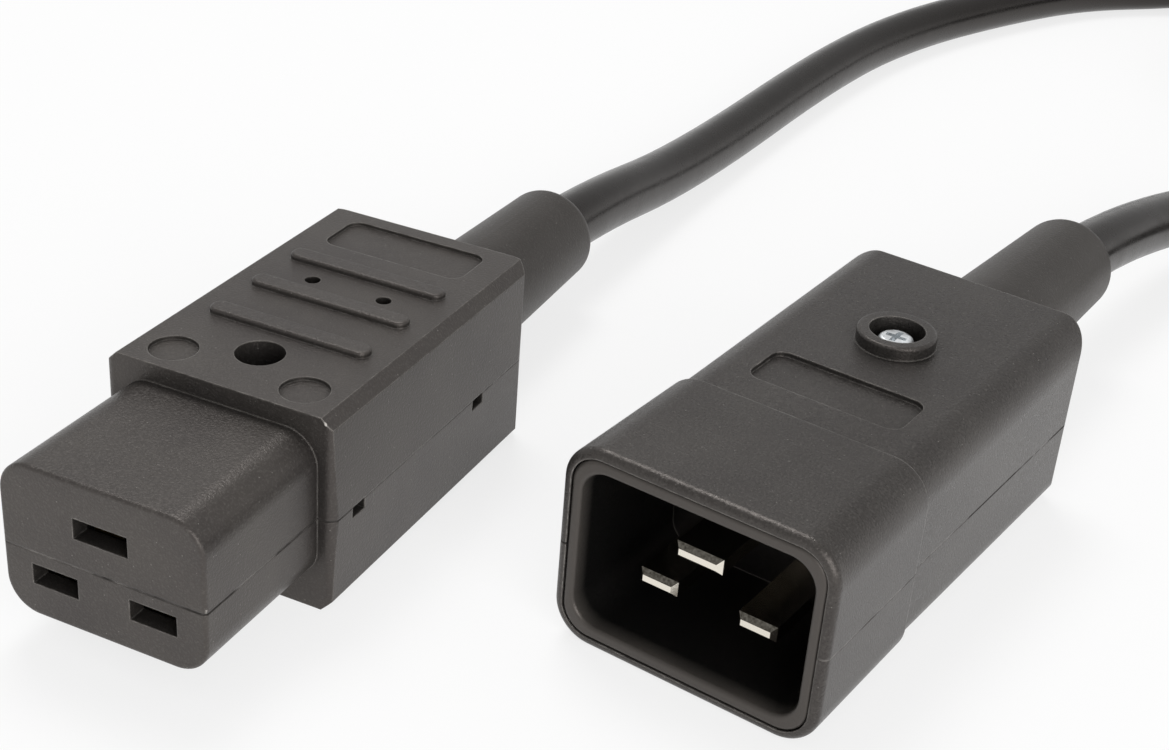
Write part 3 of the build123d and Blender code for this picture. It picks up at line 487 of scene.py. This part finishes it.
def metal(name, colour, roughness, scratch_mm=0.15, dark_bevel_reflection=None):
    """Plated metal with a fine grain. Bevels that face up and forward may get a dark painted
    reflection.
    """
    finish = Finish(name, colour, roughness, metallic=1.0, tint=WHITE)
    finish.bump(finish.noise(scratch_mm, 3.0, 0.6), 0.01, 0.35)
    rough = finish.ramp(finish.noise(1.2, 3.0, 0.6), 0.3, 0.7, roughness * 0.7, roughness * 1.4)
    finish.to("Roughness", rough)
    if dark_bevel_reflection is not None:
        # Painted reflection: bevels facing up and forward turn dark, in streaks
        facing = finish.axes(finish.facing())
        slanted = finish.ramp(facing["Y"], -0.97, -0.92, 0.0, 1.0)
        forward = finish.ramp(facing["Y"], -0.35, -0.25, 1.0, 0.0)
        upper = finish.ramp(facing["Z"], 0.2, 0.3, 0.0, 1.0)
        streaks = finish.ramp(finish.noise(0.35, 3.0, 0.6), 0.35, 0.65, 0.75, 1.0)
        share = finish.maths("MULTIPLY", finish.maths("MULTIPLY", slanted, forward), upper)
        share = finish.maths("MULTIPLY", share, streaks)
        finish.to("Base Color", finish.blend(share, colour, dark_bevel_reflection))
    return finish.material


def core_finish(name, colour, stripe=None):
    """Core insulation: plain, or with a stripe wound along it."""
    finish = Finish(name, colour, 0.35)
    cloud = finish.ramp(finish.noise(3.0, 2.0, 0.5), 0.47, 0.53, 0.0, 1.0)
    finish.to("Base Color", finish.blend(cloud, colour, stripe or colour))
    return finish.material


jacket_finish = jacket()
# The pins' bevels get a dark painted reflection
nickel = metal("nickel_pins", linear(232, 226, 214), 0.14, dark_bevel_reflection=linear(84, 80, 72))
brass = metal("brass_contacts", linear(200, 170, 100), 0.3)
steel = metal("steel_screws", linear(176, 176, 176), 0.35)
zinc = metal("zinc_screws", linear(240, 243, 245), 0.42, 0.3)
finishes = {
    "shell": plug_finish,
    "carrier": carrier(),
    "sleeve": sleeve_finish,
    "cable": jacket_finish,
    "pin": nickel,
    "contact": brass,
    "steel": steel,
    "zinc": zinc,
    "clamp": clamp_finish,
    "core_earth": core_finish("earth_core", linear(70, 130, 40), linear(220, 200, 40)),
    "core_blue": core_finish("blue_core", linear(40, 80, 160)),
    "core_brown": core_finish("brown_core", linear(96, 60, 40)),
}
slots = {part["node"]: part["material_slot"] for part in frame["record"]["subparts"]}
for name, piece in nodes.items():
    piece.data.materials.clear()
    finish = socket_finish if name.startswith("socket_shell") else finishes[slots[name]]
    piece.data.materials.append(finish)
cable.data.materials.append(jacket_finish)


def seen_directly(tree):
    """1 for a ray from the camera, a reflection or a refraction, 0 for any other ray."""
    path = tree.nodes.new("ShaderNodeLightPath")
    seen = path.outputs["Is Camera Ray"]
    for kind in ("Is Glossy Ray", "Is Transmission Ray"):
        either = tree.nodes.new("ShaderNodeMath")
        either.operation = "MAXIMUM"
        tree.links.new(seen, either.inputs[0])
        tree.links.new(path.outputs[kind], either.inputs[1])
        seen = either.outputs[0]
    return seen


def make_table():
    """White table top, wide enough to fill the picture; most of its white is its own."""
    half = TABLE_HALF
    corners = [(-half, -half, 0), (half, -half, 0), (half, half, 0), (-half, half, 0)]
    mesh = bpy.data.meshes.new("table")
    mesh.from_pydata(corners, [], [(0, 1, 2, 3)])
    table = bpy.data.objects.new("table", mesh)
    bpy.context.collection.objects.link(table)
    finish = Finish("white_table", TABLE_WHITE, 0.7, tint=WHITE)
    finish.shader.inputs["Specular IOR Level"].default_value = 0.2
    tree = finish.tree
    glow = finish.node("ShaderNodeEmission")
    share = finish.node("ShaderNodeMath", operation="MULTIPLY")
    share.inputs[1].default_value = TABLE_GLOW
    finish.link(seen_directly(tree), share.inputs[0])
    mix = finish.node("ShaderNodeMixShader")
    finish.link(share.outputs[0], mix.inputs[0])
    finish.link(finish.shader.outputs[0], mix.inputs[1])
    finish.link(glow.outputs[0], mix.inputs[2])
    finish.link(mix.outputs[0], tree.nodes["Material Output"].inputs["Surface"])
    mesh.materials.append(finish.material)


def soft_light(name, at, target, width, height, watts):
    """A rectangular soft box that faces its target. Places are in metres."""
    data = bpy.data.lights.new(name, "AREA")
    data.shape = "RECTANGLE"
    data.size = width
    data.size_y = height
    data.energy = watts
    lamp = bpy.data.objects.new(name, data)
    lamp.location = at
    aim = Vector(target) - Vector(at)
    lamp.rotation_euler = aim.to_track_quat("-Z", "Y").to_euler()
    bpy.context.collection.objects.link(lamp)


def white_room():
    """Bright surroundings: white at the horizon where they are seen, dimmer overhead."""
    world = bpy.data.worlds.new("white_room")
    world.use_nodes = True
    tree = world.node_tree
    back = tree.nodes["Background"]
    aim = tree.nodes.new("ShaderNodeTexCoord")
    split = tree.nodes.new("ShaderNodeSeparateXYZ")
    tree.links.new(aim.outputs["Generated"], split.inputs["Vector"])
    fade = tree.nodes.new("ShaderNodeMapRange")
    fade.inputs["From Min"].default_value = CEILING_FADE[0]
    fade.inputs["From Max"].default_value = CEILING_FADE[1]
    fade.inputs["To Min"].default_value = 1.0
    fade.inputs["To Max"].default_value = CEILING
    tree.links.new(split.outputs["Z"], fade.inputs["Value"])
    mix = tree.nodes.new("ShaderNodeMapRange")
    mix.inputs["To Min"].default_value = ROOM_LIGHT
    tree.links.new(fade.outputs["Result"], mix.inputs["To Max"])
    tree.links.new(seen_directly(tree), mix.inputs["Value"])
    back.inputs["Color"].default_value = WHITE
    tree.links.new(mix.outputs["Result"], back.inputs["Strength"])
    bpy.context.scene.world = world


# Table: half its width in metres, its colour and its own share of white where it is seen
TABLE_HALF = 3.0
TABLE_WHITE = (0.94, 0.94, 0.94, 1.0)
TABLE_GLOW = 0.76
# Light: the room's strength, its ceiling's where it is seen, and the two upward slopes between
# which white fades to that; then two soft boxes, the key from above on the left and behind,
# and the fill from low on the right
ROOM_LIGHT = 0.45
CEILING = 0.45
CEILING_FADE = 0.05, 0.35
make_table()
white_room()
soft_light("key", (-0.28, 0.2, 0.8), (0.0, 0.0, 0.01), 0.35, 0.35, 3.2)
soft_light("fill", (0.6, -0.4, 0.3), (0.0, 0.0, 0.01), 0.6, 0.4, 3.6)
bpy.context.scene.view_settings.view_transform = "Standard"
